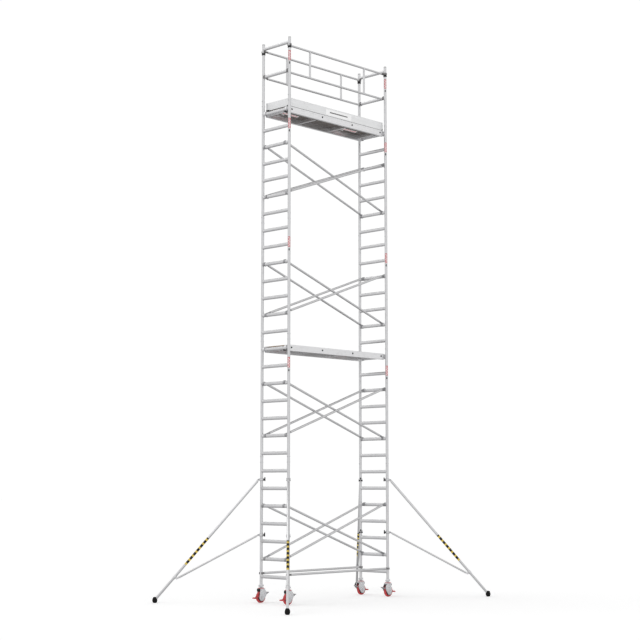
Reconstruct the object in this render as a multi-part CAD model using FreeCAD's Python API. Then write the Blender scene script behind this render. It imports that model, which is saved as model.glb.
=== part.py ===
"""Aluminium mobile tower scaffold: four ladder-frame levels, two decks, guard frames, braces,
adjustable legs on braked castors, and four swing-out stabilisers.

Millimetres. The origin is on the ground at the tower's centre. +Z is up, +X runs along the
long side and +Y towards the back. Corners are named by the side they stand on.
"""
import FreeCAD
import Part
import math
import os

V = FreeCAD.Vector
X_AXIS = V(1, 0, 0)
Y_AXIS = V(0, 1, 0)
Z_AXIS = V(0, 0, 1)
ORIGIN = V(0, 0, 0)

# ---------------------------------------------------------------- driving dimensions
# tower
frame_spacing = 2530.0        # post centre to post centre, along X
frame_width = 660.0           # post centre to post centre, along Y
post_radius = 25.5
post_wall = 3.0
rung_width = 48.0             # across X
rung_height = 58.0
rung_wall = 2.5
rung_pitch = 300.0
rungs_per_level = 7
levels = 4
foot_to_first_rung = 130.0
rung_to_joint = 193.5         # last rung of a level to the post joint above it
guard_rail_heights = (683.0, 1195.0)   # end rails above the top deck's rung
post_top_height = 1275.0      # post ends above the top deck's rung

# post joints
spigot_reach = 90.0           # spigot length each side of a joint
spigot_wall = 3.0
spigot_clearance = 0.3
snap_pin_radius = 4.0
snap_pin_offset = 48.0        # pins above and below a joint
snap_head_radius = 8.0
snap_head_thickness = 5.0
snap_pin_proud = 4.0          # shank showing between post and head
hole_clearance = 0.2
cap_height = 8.0
plug_depth = 30.0
bush_length = 60.0

# castors
wheel_radius = 100.0
wheel_width = 48.0
tyre_depth = 22.0
tyre_edge = 7.0
rim_web = 20.0
hub_radius = 22.0
hub_side_gap = 0.5
axle_radius = 10.0
axle_head_radius = 15.0
axle_head_thickness = 8.0
castor_trail = 10.0
plate_thickness = 6.0
plate_gap = 8.0               # wheel side to fork plate
plate_end_radius = 48.0       # round end of a fork plate, about the axle
crown_length = 110.0
crown_width = 84.0
crown_height = 22.5
plate_shoulder = 42.0         # straight side of a fork plate below the crown
kingpin_radius = 10.0
kingpin_head_radius = 16.0
kingpin_head_thickness = 8.7
wheel_top_gap = 12.0
swivel_gap = 0.5
face_gap = 0.3
running_clearance = 0.05
top_plate_radius = 46.0
top_plate_thickness = 12.0

# brake lever, measured from the leg's axis
brake_pivot = (8.0, 168.0)
brake_pivot_radius = 5.0
brake_arm_thickness = 4.0
brake_arm_width = 18.0
brake_arm_side_gap = 2.5      # wheel side to arm
pedal_tip = (166.0, 86.0)
pedal_heel = (118.0, 88.0)
release_heel = (-106.0, 146.0)
release_tip = (-158.0, 174.0)
lever_plate_thickness = 9.0

# adjustable leg
spindle_radius = 19.0
spindle_length = 450.0
nut_height = 52.7
nut_radius = 30.0
nut_wing_reach = 57.0
nut_wing_thickness = 18.0
nut_wing_height = 30.0
nut_rest_gap = 6.0

# tubes, claws and braces
tube_radius = 20.0
tube_wall = 2.5
claw_margin = 11.0            # casting thickness around what it holds
claw_width = 34.0
claw_clearance = 0.3
socket_margin = 3.0
socket_overlap = 40.0         # claw's plug inside its tube
brace_rise = 23.0             # tube axis above the rung's axis
brace_outer_y = 280.0
brace_inner_y = 232.0
brace_setback = 92.0          # rung axis to tube end
brace_first_rung = 2
brace_span = 3
base_brace_height = 55.0      # above the first rung
base_setback = 60.0

# guardrails
guardrail_y = 292.0
guardrail_radius = 19.0
guard_top_drop = 48.0         # top tube below the top end rail
guard_mid_drop = 22.0         # lower tube below the lower end rail
guard_upright_x = 714.0
guard_setback = 60.0
guard_hook_width = 24.0       # narrower than a brace claw, to clear the post
collar_drop = 40.0
collar_height = 22.0
collar_margin = 6.0

# decks
deck_rungs = (14, 28)
hatch_sides = (-1, 1)         # which end bay holds each deck's hatch
deck_half_width = 290.0
deck_rail_width = 45.0
deck_rail_below = 50.0
deck_rail_above = 58.0
deck_rail_wall = 3.0
deck_end_gap = 16.0           # rung to rail end
cross_member_width = 40.0
cross_member_height = 60.0
cross_member_wall = 3.0
cross_member_x = 392.0
end_member_x = 1160.0
ply_thickness = 12.0
ply_gap = 1.0
hatch_gap = 3.0
hatch_margin = 18.0           # lid edge to the middle of its cross members
hatch_strip = 8.0             # fixed strip on the hinge side
hinge_radius = 6.0
hinge_rise = 6.0
hinge_knuckle = 40.0
hinge_offset = 240.0          # knuckles from the lid's middle
deck_claw_margin = 15.0
deck_claw_plug = 45.0
bolt_radius = 10.0
bolt_head = 5.0
bolt_rise = 10.0              # above the rung's axis

# toe boards
toe_height = 150.0
toe_thickness = 20.0
toe_y = 292.0
toe_end_gap = 12.0
toe_end_x = 1222.0
toe_wall_gap = 2.0

# stabilisers, measured outward from the post's axis
stabiliser_angle = 45.0
stabiliser_reach = 1815.0
stabiliser_radius = 22.0
stabiliser_wall = 3.0
upper_clamp_rung = 6
upper_clamp_rise = 150.0
lower_clamp_rung = 3
lower_clamp_rise = 103.0
clamp_height = 44.0
clamp_margin = 11.0
clamp_pivot = 52.0
pivot_bolt_radius = 6.0
lug_thickness = 7.0
lug_gap = 0.5
lug_radius = 15.0
eye_radius = 16.0
strut_share = 0.81            # where the strut meets the main tube
strut_radius = 17.0
strut_drop = 45.0
drain_hole_radius = 3.0
sleeve_length = 60.0
sleeve_margin = 6.0
foot_radius = 44.0
foot_height = 104.0
foot_ball_height = 46.0
foot_sole_radius = 32.0
foot_tube_depth = 50.0
knob_gap = 0.5
knob_hub_radius = 15.0
knob_hub_length = 30.0
knob_lobe_radius = 14.0
knob_lobe_reach = 30.0
knob_lobe_thickness = 20.0
stud_radius = 5.0
stud_length = 9.0

# ---------------------------------------------------------------- derived places
half_x = frame_spacing / 2
half_y = frame_width / 2
axle_z = wheel_radius
kingpin_foot = 2 * wheel_radius + wheel_top_gap
crown_z = kingpin_foot + kingpin_head_thickness + face_gap
crown_top = crown_z + crown_height
top_plate_z = crown_top + swivel_gap
top_plate_top = top_plate_z + top_plate_thickness
nut_z = top_plate_top + nut_rest_gap
post_foot = nut_z + nut_height + face_gap
first_rung = post_foot + foot_to_first_rung
top_rung_count = rungs_per_level * levels
post_bore = post_radius - post_wall
CORNERS = {
    "front_left": (-1, -1),
    "front_right": (1, -1),
    "back_left": (-1, 1),
    "back_right": (1, 1),
}


def rung_z(number):
    """Height of a rung's axis. Rung 1 is the lowest."""
    return first_rung + rung_pitch * (number - 1)


def joint_z(level):
    """Height of the post joint at the top of a level. Level 0 is the foot of the posts."""
    if level == 0:
        return post_foot
    return rung_z(rungs_per_level * level) + rung_to_joint


top_rung = rung_z(top_rung_count)
post_top = top_rung + post_top_height
upper_clamp_z = rung_z(upper_clamp_rung) + upper_clamp_rise
lower_clamp_z = rung_z(lower_clamp_rung) + lower_clamp_rise


# ---------------------------------------------------------------- shape helpers
def rod(start, end, radius):
    """Solid cylinder between two points."""
    along = end - start
    return Part.makeCylinder(radius, along.Length, start, along)


def tube(start, end, radius, wall):
    """Hollow cylinder between two points."""
    return rod(start, end, radius).cut(rod(start, end, radius - wall))


def block(x0, x1, y0, y1, z0, z1):
    """Box between two corners, given in any order."""
    low = V(min(x0, x1), min(y0, y1), min(z0, z1))
    high = V(max(x0, x1), max(y0, y1), max(z0, z1))
    size = high - low
    return Part.makeBox(size.x, size.y, size.z, low)


def box_tube_x(x0, x1, y0, y1, z0, z1, wall):
    """Rectangular tube along X."""
    inside = block(x0, x1, y0 + wall, y1 - wall, z0 + wall, z1 - wall)
    return block(x0, x1, y0, y1, z0, z1).cut(inside)


def box_tube_y(x0, x1, y0, y1, z0, z1, wall):
    """Rectangular tube along Y."""
    inside = block(x0 + wall, x1 - wall, y0, y1, z0 + wall, z1 - wall)
    return block(x0, x1, y0, y1, z0, z1).cut(inside)


def plate_xz(points, y0, y1):
    """Flat plate from an outline in the XZ plane, between two Y values."""
    outline = [V(x, y0, z) for x, z in points]
    face = Part.Face(Part.makePolygon(outline + outline[:1]))
    return face.extrude(V(0, y1 - y0, 0))


def joined(shapes):
    """One solid made of overlapping shapes."""
    first = shapes[0]
    return first.fuse(shapes[1:]).removeSplitter() if len(shapes) > 1 else first


def rung_bar(x, z, y0, y1, margin=0.0):
    """Solid bar with a rung's round-ended section, grown by margin."""
    radius = rung_width / 2 + margin
    straight = (rung_height - rung_width) / 2
    low = rod(V(x, y0, z - straight), V(x, y1, z - straight), radius)
    high = rod(V(x, y0, z + straight), V(x, y1, z + straight), radius)
    middle = block(x - radius, x + radius, y0, y1, z - straight, z + straight)
    return joined([low, high, middle])


def rung(x, z):
    """Hollow rung between the two posts of a frame, coped to the posts."""
    bar = rung_bar(x, z, -half_y, half_y)
    bar = bar.cut(rung_bar(x, z, -half_y, half_y, -rung_wall))
    reach = V(0, 0, rung_height)
    for y in (-half_y, half_y):
        bar = bar.cut(rod(V(x, y, z) - reach, V(x, y, z) + reach, post_radius))
    return bar


def placed(shape, corner):
    """Copy of a shape made about a leg's axis, turned so its +X points outboard, at a corner."""
    side_x, side_y = CORNERS[corner]
    copy = shape.copy()
    if side_x < 0:
        copy.rotate(ORIGIN, Z_AXIS, 180)
    copy.translate(V(side_x * half_x, side_y * half_y, 0))
    return copy


def swung(shape, corner):
    """Copy of a shape made about a post's axis along +X, turned to its stabiliser's direction."""
    side_x, side_y = CORNERS[corner]
    angle = math.degrees(math.atan2(
        side_y * math.sin(math.radians(stabiliser_angle)),
        side_x * math.cos(math.radians(stabiliser_angle)),
    ))
    copy = shape.copy()
    copy.rotate(ORIGIN, Z_AXIS, angle)
    copy.translate(V(side_x * half_x, side_y * half_y, 0))
    return copy


def save(node, solids):
    """Write one node's solids as one STEP file."""
    Part.makeCompound(solids).exportStep("parts/%s.step" % node)


# ---------------------------------------------------------------- frames
def pin_holes(x, y, joint):
    """Cross holes for the two snap pins at a post joint."""
    reach = post_radius + 1
    radius = snap_pin_radius + hole_clearance
    heights = (joint - snap_pin_offset, joint + snap_pin_offset)
    return [rod(V(x - reach, y, z), V(x + reach, y, z), radius) for z in heights]


def post(x, y, level):
    """Post of one level, with the spigot for the next level fixed in its top."""
    low, high = joint_z(level - 1), joint_z(level)
    shape = tube(V(x, y, low), V(x, y, high), post_radius, post_wall)
    inner = post_bore - spigot_wall
    sunk = tube(V(x, y, high - spigot_reach), V(x, y, high), post_bore, spigot_wall)
    stub_radius = post_bore - spigot_clearance
    stub = rod(V(x, y, high), V(x, y, high + spigot_reach), stub_radius)
    stub = stub.cut(rod(V(x, y, high), V(x, y, high + spigot_reach), inner))
    shape = joined([shape, sunk, stub])
    holes = pin_holes(x, y, high)
    if level > 1:
        holes.append(pin_holes(x, y, low)[1])
    return shape.cut(holes)


def ladder_frames(level):
    """Both end frames of one level."""
    solids = []
    for x in (-half_x, half_x):
        solids += [post(x, y, level) for y in (-half_y, half_y)]
        first = rungs_per_level * (level - 1) + 1
        solids += [rung(x, rung_z(first + i)) for i in range(rungs_per_level)]
    return solids


def guard_frames():
    """The two end frames above the top deck, with two rails each."""
    solids = []
    low = joint_z(levels)
    for x in (-half_x, half_x):
        for y in (-half_y, half_y):
            shape = tube(V(x, y, low), V(x, y, post_top), post_radius, post_wall)
            solids.append(shape.cut(pin_holes(x, y, low)[1]))
        solids += [rung(x, top_rung + height) for height in guard_rail_heights]
    return solids


def snap_pins():
    """Two headed pins through every post joint."""
    solids = []
    shank_end = post_radius + snap_pin_proud
    head_end = shank_end + snap_head_thickness
    for side_x, side_y in CORNERS.values():
        x, y = side_x * half_x, side_y * half_y
        for level in range(1, levels + 1):
            for offset in (-snap_pin_offset, snap_pin_offset):
                z = joint_z(level) + offset
                parts = [rod(V(x - shank_end, y, z), V(x + shank_end, y, z), snap_pin_radius)]
                for side in (-1, 1):
                    start = V(x + side * shank_end, y, z)
                    end = V(x + side * head_end, y, z)
                    parts.append(rod(start, end, snap_head_radius))
                solids.append(joined(parts))
    return solids


def post_end_plugs():
    """Plastic caps in the post tops and guide bushes in the post feet."""
    solids = []
    for side_x, side_y in CORNERS.values():
        x, y = side_x * half_x, side_y * half_y
        cap = rod(V(x, y, post_top), V(x, y, post_top + cap_height), post_radius)
        plug = rod(V(x, y, post_top - plug_depth), V(x, y, post_top), post_bore)
        solids.append(joined([cap, plug]))
        bush_wall = post_bore - spindle_radius - running_clearance
        foot, top = V(x, y, post_foot), V(x, y, post_foot + bush_length)
        solids.append(tube(foot, top, post_bore, bush_wall))
    return solids


# ---------------------------------------------------------------- braces and guardrails
def hook_claw(rail_x, rail_z, y, tube_end, inward, radius, wall, width, margin):
    """Casting that hooks over a rung or rail and plugs into a tube.

    tube_end is where the tube starts and inward its direction, away from the rail.
    """
    y0, y1 = y - width / 2, y + width / 2
    outer = rung_bar(rail_x, rail_z, y0, y1, margin)
    socket = rod(V(rail_x, y, tube_end.z - inward.z * abs(tube_end.x - rail_x) / abs(inward.x)),
                 tube_end, min(radius + socket_margin, width / 2))
    plug = rod(tube_end, tube_end + inward * socket_overlap, radius - wall)
    casting = joined([outer, socket, plug])
    hole = rung_bar(rail_x, rail_z, y0 - 1, y1 + 1, claw_clearance)
    half = rung_width / 2 + claw_clearance
    mouth = block(rail_x - half, rail_x + half, y0 - 1, y1 + 1, rail_z, rail_z - 2 * rung_height)
    return casting.cut([hole, mouth])


def post_claw(post_x, post_y, z, tube_end, inward, radius, wall, height):
    """Casting that snaps round a post from inside the tower and plugs into a level tube."""
    hole_radius = post_radius + claw_clearance
    outer_radius = hole_radius + claw_margin
    z0, z1 = z - height / 2, z + height / 2
    outer = rod(V(post_x, post_y, z0), V(post_x, post_y, z1), outer_radius)
    socket = rod(V(post_x, tube_end.y, z), tube_end, min(radius + socket_margin, height / 2))
    plug = rod(tube_end, tube_end + inward * socket_overlap, radius - wall)
    casting = joined([outer, socket, plug])
    hole = rod(V(post_x, post_y, z0 - 1), V(post_x, post_y, z1 + 1), hole_radius)
    away = -1 if inward.x > 0 else 1
    mouth = block(post_x, post_x + away * 2 * outer_radius,
                  post_y - hole_radius, post_y + hole_radius, z0 - 1, z1 + 1)
    return casting.cut([hole, mouth])


def brace_lines():
    """(low end, high end, rung height low, rung height high) of the sixteen diagonal tubes."""
    lines = []
    for level in range(levels):
        low = rung_z(brace_first_rung + rungs_per_level * level)
        high = low + brace_span * rung_pitch
        for side, y in ((-1, -brace_outer_y), (1, brace_outer_y),
                        (1, -brace_inner_y), (-1, brace_inner_y)):
            start = V(side * half_x, y, low + brace_rise)
            end = V(-side * half_x, y, high + brace_rise)
            lines.append((start, end, low, high))
    return lines


def brace_ends(start, end):
    """Where a diagonal tube really starts and ends, and its direction."""
    along = (end - start).normalize()
    setback = brace_setback / abs(along.x)
    return start + along * setback, end - along * setback, along


def brace_tubes():
    """Diagonal tubes, four to a level."""
    solids = []
    for start, end, _, _ in brace_lines():
        first, last, _ = brace_ends(start, end)
        solids.append(tube(first, last, tube_radius, tube_wall))
    return solids


def brace_claws():
    """A hook at each end of every diagonal tube."""
    solids = []
    for start, end, low, high in brace_lines():
        first, last, along = brace_ends(start, end)
        solids.append(hook_claw(start.x, low, start.y, first, along,
                                tube_radius, tube_wall, claw_width, claw_margin))
        solids.append(hook_claw(end.x, high, end.y, last, along * -1,
                                tube_radius, tube_wall, claw_width, claw_margin))
    return solids


def base_braces():
    """Level tubes from post to post above the first rung, with their claws."""
    solids = []
    z = first_rung + base_brace_height
    reach = half_x - base_setback
    for y in (-half_y, half_y):
        left, right = V(-reach, y, z), V(reach, y, z)
        solids.append(tube(left, right, tube_radius, tube_wall))
        for x, end, inward in ((-half_x, left, X_AXIS), (half_x, right, X_AXIS * -1)):
            solids.append(post_claw(x, y, z, end, inward, tube_radius, tube_wall, claw_width))
    return solids


guard_top_z = top_rung + guard_rail_heights[1] - guard_top_drop
guard_mid_z = top_rung + guard_rail_heights[0] - guard_mid_drop


def guardrails():
    """Side guardrail frames: two level tubes and two uprights on each long side."""
    solids = []
    reach = half_x - guard_setback
    for y in (-guardrail_y, guardrail_y):
        for z in (guard_mid_z, guard_top_z):
            solids.append(tube(V(-reach, y, z), V(reach, y, z), guardrail_radius, tube_wall))
        for x in (-guard_upright_x, guard_upright_x):
            upright = tube(V(x, y, guard_mid_z), V(x, y, guard_top_z), guardrail_radius, tube_wall)
            ends = [rod(V(-reach, y, z), V(reach, y, z), guardrail_radius)
                    for z in (guard_mid_z, guard_top_z)]
            solids.append(upright.cut(ends))
    return solids


def guardrail_claws():
    """Hooks on the lower end rails, clamps round the posts, and the clamps' locking collars."""
    solids = []
    reach = half_x - guard_setback
    low_rail = top_rung + guard_rail_heights[0]
    for side_x, side_y in CORNERS.values():
        y = side_y * guardrail_y
        inward = X_AXIS * -side_x
        solids.append(hook_claw(side_x * half_x, low_rail, y, V(side_x * reach, y, guard_mid_z),
                                inward, guardrail_radius, tube_wall, guard_hook_width, claw_margin))
        post_x, post_y = side_x * half_x, side_y * half_y
        solids.append(post_claw(post_x, post_y, guard_top_z, V(side_x * reach, y, guard_top_z),
                                inward, guardrail_radius, tube_wall, claw_width))
        low = V(post_x, post_y, guard_top_z - collar_drop - collar_height / 2)
        high = V(post_x, post_y, guard_top_z - collar_drop + collar_height / 2)
        outer = post_radius + collar_margin
        solids.append(tube(low, high, outer, collar_margin - claw_clearance))
    return solids


# ---------------------------------------------------------------- decks
rail_end = half_x - rung_width / 2 - deck_end_gap
rail_inner_y = deck_half_width - deck_rail_width
lid_half_y = rail_inner_y - hatch_strip - hatch_gap


def deck_frame(rung_number):
    """Two side rails and four cross members."""
    z = rung_z(rung_number)
    low, high = z - deck_rail_below, z + deck_rail_above
    solids = []
    for y0, y1 in ((-deck_half_width, -rail_inner_y), (rail_inner_y, deck_half_width)):
        solids.append(box_tube_x(-rail_end, rail_end, y0, y1, low, high, deck_rail_wall))
    member_top = high - ply_thickness
    half = cross_member_width / 2
    for x in (-end_member_x, -cross_member_x, cross_member_x, end_member_x):
        solids.append(box_tube_y(x - half, x + half, -rail_inner_y, rail_inner_y,
                                 member_top - cross_member_height, member_top, cross_member_wall))
    return solids


def hatch_span(side):
    """Low and high X of a deck's hatch lid."""
    edges = (side * (cross_member_x + hatch_margin), side * (end_member_x - hatch_margin))
    return min(edges), max(edges)


def deck_panels(rung_number, side):
    """Fixed plywood either side of the hatch, and the strips beside its lid."""
    top = rung_z(rung_number) + deck_rail_above
    bottom = top - ply_thickness
    lid_low, lid_high = hatch_span(side)
    edge_y = rail_inner_y - ply_gap
    end = toe_end_x - toe_thickness - toe_wall_gap
    left = block(-end, lid_low - hatch_gap, -edge_y, edge_y, bottom, top)
    right = block(lid_high + hatch_gap, end, -edge_y, edge_y, bottom, top)
    strip_y = lid_half_y + hatch_gap
    strips = [block(lid_low - hatch_gap, lid_high + hatch_gap, s * strip_y, s * edge_y, bottom, top)
              for s in (-1, 1)]
    return [left, right] + strips


def hatch(rung_number, side):
    """Hatch lid with two hinge knuckles along its back edge."""
    top = rung_z(rung_number) + deck_rail_above
    low, high = hatch_span(side)
    lid = block(low, high, -lid_half_y, lid_half_y, top - ply_thickness, top)
    middle = (low + high) / 2
    parts = [lid]
    for offset in (-hinge_offset, hinge_offset):
        x = middle + offset
        axis_y = lid_half_y + hatch_gap / 2
        start = V(x - hinge_knuckle / 2, axis_y, top + hinge_rise)
        end = V(x + hinge_knuckle / 2, axis_y, top + hinge_rise)
        parts.append(rod(start, end, hinge_radius - face_gap))
        parts.append(block(start.x, end.x, lid_half_y - 3 * hinge_radius, axis_y,
                           top, top + hinge_rise / 2))
    return [joined(parts)]


def deck_claws():
    """Castings that carry each deck's side rails on the rungs."""
    solids = []
    middle_y = (deck_half_width + rail_inner_y) / 2
    for number in deck_rungs:
        z = rung_z(number)
        for side_x, side_y in CORNERS.values():
            x = side_x * half_x
            y0 = side_y * middle_y - deck_rail_width / 2
            y1 = side_y * middle_y + deck_rail_width / 2
            nose = rung_bar(x, z, y0, y1, deck_claw_margin)
            body = block(x, side_x * rail_end, y0, y1, z - deck_rail_below, z + deck_rail_below)
            wall = deck_rail_wall
            plug = block(side_x * rail_end, side_x * (rail_end - deck_claw_plug),
                         y0 + wall, y1 - wall,
                         z - deck_rail_below + wall, z + deck_rail_above - wall)
            hole = rung_bar(x, z, y0 - 1, y1 + 1, claw_clearance)
            half = rung_width / 2 + claw_clearance
            mouth = block(x - half, x + half, y0 - 1, y1 + 1, z, z - 2 * rung_height)
            solids.append(joined([nose, body, plug]).cut([hole, mouth]))
    return solids


def deck_bolts():
    """Bolt heads where the side rails meet the cross members."""
    solids = []
    for number in deck_rungs:
        z = rung_z(number) + bolt_rise
        for x in (-end_member_x, -cross_member_x, cross_member_x, end_member_x):
            for side in (-1, 1):
                start = V(x, side * deck_half_width, z)
                end = V(x, side * (deck_half_width + bolt_head), z)
                solids.append(rod(start, end, bolt_radius))
    return solids


def toe_boards():
    """Boards on all four edges of the top deck."""
    low = rung_z(deck_rungs[-1]) + deck_rail_above
    high = low + toe_height
    inner_y = toe_y - toe_thickness
    reach = toe_end_x + toe_end_gap
    solids = []
    for side in (-1, 1):
        solids.append(block(-reach, reach, side * inner_y, side * toe_y, low, high))
        edge = inner_y - toe_wall_gap
        solids.append(block(side * toe_end_x, side * (toe_end_x - toe_thickness),
                            -edge, edge, low, high))
    return solids


# ---------------------------------------------------------------- castors and legs
plate_inner = wheel_width / 2 + plate_gap
plate_outer = plate_inner + plate_thickness


def fork_plate_outline():
    """Square-shouldered plate that narrows to a round end about the axle."""
    half = crown_length / 2
    shoulder_z = crown_z - plate_shoulder
    points = [(-half, crown_z), (-half, shoulder_z)]
    centre = V(castor_trail, 0, axle_z)
    steps = 24
    starts = []
    for side in (-1, 1):
        corner = V(side * half, 0, shoulder_z)
        reach = corner - centre
        away = math.acos(plate_end_radius / reach.Length)
        starts.append(math.atan2(reach.z, reach.x) - side * away)
    left, right = starts
    if left < 0:
        left += 2 * math.pi
    span = right + 2 * math.pi - left
    for i in range(steps + 1):
        angle = left + span * i / steps
        points.append((centre.x + plate_end_radius * math.cos(angle),
                       centre.z + plate_end_radius * math.sin(angle)))
    points += [(half, shoulder_z), (half, crown_z)]
    return points


def castor_fork():
    """Swivel fork: crown, two side plates, axle bolt and the brake lever's pivot studs."""
    crown = block(-crown_length / 2, crown_length / 2, -crown_width / 2, crown_width / 2,
                  crown_z, crown_top)
    bore = rod(V(0, 0, crown_z), V(0, 0, crown_top), kingpin_radius + running_clearance)
    solids = [crown.cut(bore)]
    outline = fork_plate_outline()
    axle_line = (V(castor_trail, -plate_outer, axle_z), V(castor_trail, plate_outer, axle_z))
    for side in (-1, 1):
        plate = plate_xz(outline, side * plate_inner, side * plate_outer)
        plate = plate.cut(rod(axle_line[0], axle_line[1], axle_radius))
        stud_tip = side * (plate_inner - brake_arm_thickness - 1.0)
        stud = rod(V(brake_pivot[0], side * plate_inner, brake_pivot[1]),
                   V(brake_pivot[0], stud_tip, brake_pivot[1]), brake_pivot_radius)
        solids.append(joined([plate, stud]))
    axle = [rod(axle_line[0], axle_line[1], axle_radius)]
    for side in (-1, 1):
        start = V(castor_trail, side * plate_outer, axle_z)
        end = V(castor_trail, side * (plate_outer + axle_head_thickness), axle_z)
        axle.append(rod(start, end, axle_head_radius))
    solids.append(joined(axle))
    return solids


def wheel_disc(radius, y0, y1):
    """Solid disc about the axle."""
    return rod(V(castor_trail, y0, axle_z), V(castor_trail, y1, axle_z), radius)


def castor_tyre():
    """Tyre with rounded shoulders."""
    half = wheel_width / 2
    ring = wheel_disc(wheel_radius, -half, half)
    edges = [e for e in ring.Edges if isinstance(e.Curve, Part.Circle)]
    ring = ring.makeFillet(tyre_edge, edges)
    return [ring.cut(wheel_disc(wheel_radius - tyre_depth, -half, half))]


def castor_rim():
    """Rim band, web and hub with the axle's bore."""
    half = wheel_width / 2 - 2
    seat = wheel_radius - tyre_depth
    hub_half = plate_inner - hub_side_gap
    band = wheel_disc(seat, -half, half).cut(wheel_disc(seat - 8, -half, half))
    web = wheel_disc(seat - 4, -rim_web / 2, rim_web / 2)
    hub = wheel_disc(hub_radius, -hub_half, hub_half)
    bore = wheel_disc(axle_radius + running_clearance, -hub_half - 1, hub_half + 1)
    return [joined([band, web, hub]).cut(bore)]


def bar_outline(start, end, width):
    """Four corners of a straight bar in the XZ plane."""
    dx, dz = end[0] - start[0], end[1] - start[1]
    length = math.hypot(dx, dz)
    nx, nz = -dz / length * width / 2, dx / length * width / 2
    return [(start[0] + nx, start[1] + nz), (end[0] + nx, end[1] + nz),
            (end[0] - nx, end[1] - nz), (start[0] - nx, start[1] - nz)]


def brake_lever():
    """Rocking lever: foot pedal outboard, release tab inboard, an arm each side of the wheel."""
    inner = wheel_width / 2 + brake_arm_side_gap
    outer = inner + brake_arm_thickness
    parts = []
    for side in (-1, 1):
        for end in (pedal_heel, release_heel):
            outline = bar_outline(brake_pivot, end, brake_arm_width)
            parts.append(plate_xz(outline, side * inner, side * outer))
        eye = rod(V(brake_pivot[0], side * inner, brake_pivot[1]),
                  V(brake_pivot[0], side * outer, brake_pivot[1]), brake_arm_width / 2)
        parts.append(eye)
    for heel, tip in ((pedal_heel, pedal_tip), (release_heel, release_tip)):
        parts.append(plate_xz(bar_outline(heel, tip, lever_plate_thickness), -outer, outer))
    bore = rod(V(brake_pivot[0], -plate_inner, brake_pivot[1]),
               V(brake_pivot[0], plate_inner, brake_pivot[1]),
               brake_pivot_radius + running_clearance)
    return [joined(parts).cut(bore)]


def castor_spindle():
    """Leg spindle, its castor plate and the kingpin that the fork swivels on."""
    pin = rod(V(0, 0, kingpin_foot), V(0, 0, top_plate_z), kingpin_radius)
    head = rod(V(0, 0, kingpin_foot), V(0, 0, kingpin_foot + kingpin_head_thickness),
               kingpin_head_radius)
    plate = rod(V(0, 0, top_plate_z), V(0, 0, top_plate_top), top_plate_radius)
    spindle = rod(V(0, 0, top_plate_top), V(0, 0, top_plate_top + spindle_length), spindle_radius)
    return [joined([pin, head, plate, spindle])]


def jack_nut():
    """Wing nut that the post stands on."""
    hub = rod(V(0, 0, nut_z), V(0, 0, nut_z + nut_height), nut_radius)
    middle = nut_z + nut_height / 2
    wings = block(-nut_wing_reach, nut_wing_reach,
                  -nut_wing_thickness / 2, nut_wing_thickness / 2,
                  middle - nut_wing_height / 2, middle + nut_wing_height / 2)
    bore = rod(V(0, 0, nut_z), V(0, 0, nut_z + nut_height), spindle_radius + running_clearance)
    return [joined([hub, wings]).cut(bore)]


# ---------------------------------------------------------------- stabilisers
clamp_bore = post_radius + running_clearance
clamp_radius = clamp_bore + clamp_margin


def clamp(z):
    """Clamp ring round a post with two pivot lugs and a pivot bolt."""
    low, high = z - clamp_height / 2, z + clamp_height / 2
    ring = rod(V(0, 0, low), V(0, 0, high), clamp_radius)
    lug_inner = eye_width / 2 + lug_gap
    lug_outer = lug_inner + lug_thickness
    parts = [ring]
    for side in (-1, 1):
        parts.append(block(0, clamp_pivot, side * lug_inner, side * lug_outer,
                           z - lug_radius, z + lug_radius))
        parts.append(rod(V(clamp_pivot, side * lug_inner, z), V(clamp_pivot, side * lug_outer, z),
                         lug_radius))
    parts.append(rod(V(clamp_pivot, -lug_outer, z), V(clamp_pivot, lug_outer, z),
                     pivot_bolt_radius))
    post_hole = rod(V(0, 0, low - 1), V(0, 0, high + 1), clamp_bore)
    stud_hole = rod(V(0, 0, z), V(-clamp_radius - 1, 0, z), stud_radius + running_clearance)
    return joined(parts).cut([post_hole, stud_hole])


eye_width = 18.0
foot_centre = V(stabiliser_reach, 0, foot_tube_depth)
main_top = V(clamp_pivot, 0, upper_clamp_z)
main_axis = (foot_centre - main_top).normalize()
main_length = (foot_centre - main_top).Length
strut_meets = main_top + main_axis * (main_length * strut_share)
below = V(main_axis.z, 0, -main_axis.x)
strut_end = strut_meets + below * strut_drop
strut_top = V(clamp_pivot, 0, lower_clamp_z)


def pivoted_tube(start, end, radius, wall, solid_end):
    """Tube between two points with a flat drilled eye at its start, and at its end if asked.

    A small hole under the middle drains it.
    """
    along = (end - start).normalize()
    parts = [tube(start + along * eye_reach, end - along * (eye_reach * solid_end), radius, wall)]
    holes = []
    ends = ((start, along), (end, along * -1)) if solid_end else ((start, along),)
    for point, inward in ends:
        eye = rod(point - Y_AXIS * (eye_width / 2), point + Y_AXIS * (eye_width / 2), eye_radius)
        inner_end = point + inward * (eye_reach + plug_depth)
        shank = rod(point, inner_end, radius - wall)
        cheek = eye_width / 2
        sides = [block(-10 * radius, 10 * radius, cheek, 3 * radius, -10 * radius, 10 * radius),
                 block(-10 * radius, 10 * radius, -cheek, -3 * radius, -10 * radius, 10 * radius)]
        for side in sides:
            side.translate(V(point.x, 0, point.z))
        keep = rod(point + inward * eye_reach, inner_end, radius - wall)
        flat = joined([eye, shank]).cut(sides)
        parts.append(joined([flat, keep]))
        holes.append(rod(point - Y_AXIS * radius, point + Y_AXIS * radius, pivot_bolt_radius))
    middle = (start + end) * 0.5
    holes.append(rod(middle, middle - Z_AXIS * (3 * radius), drain_hole_radius))
    return [joined(parts).cut(holes)]


eye_reach = 34.0


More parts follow.
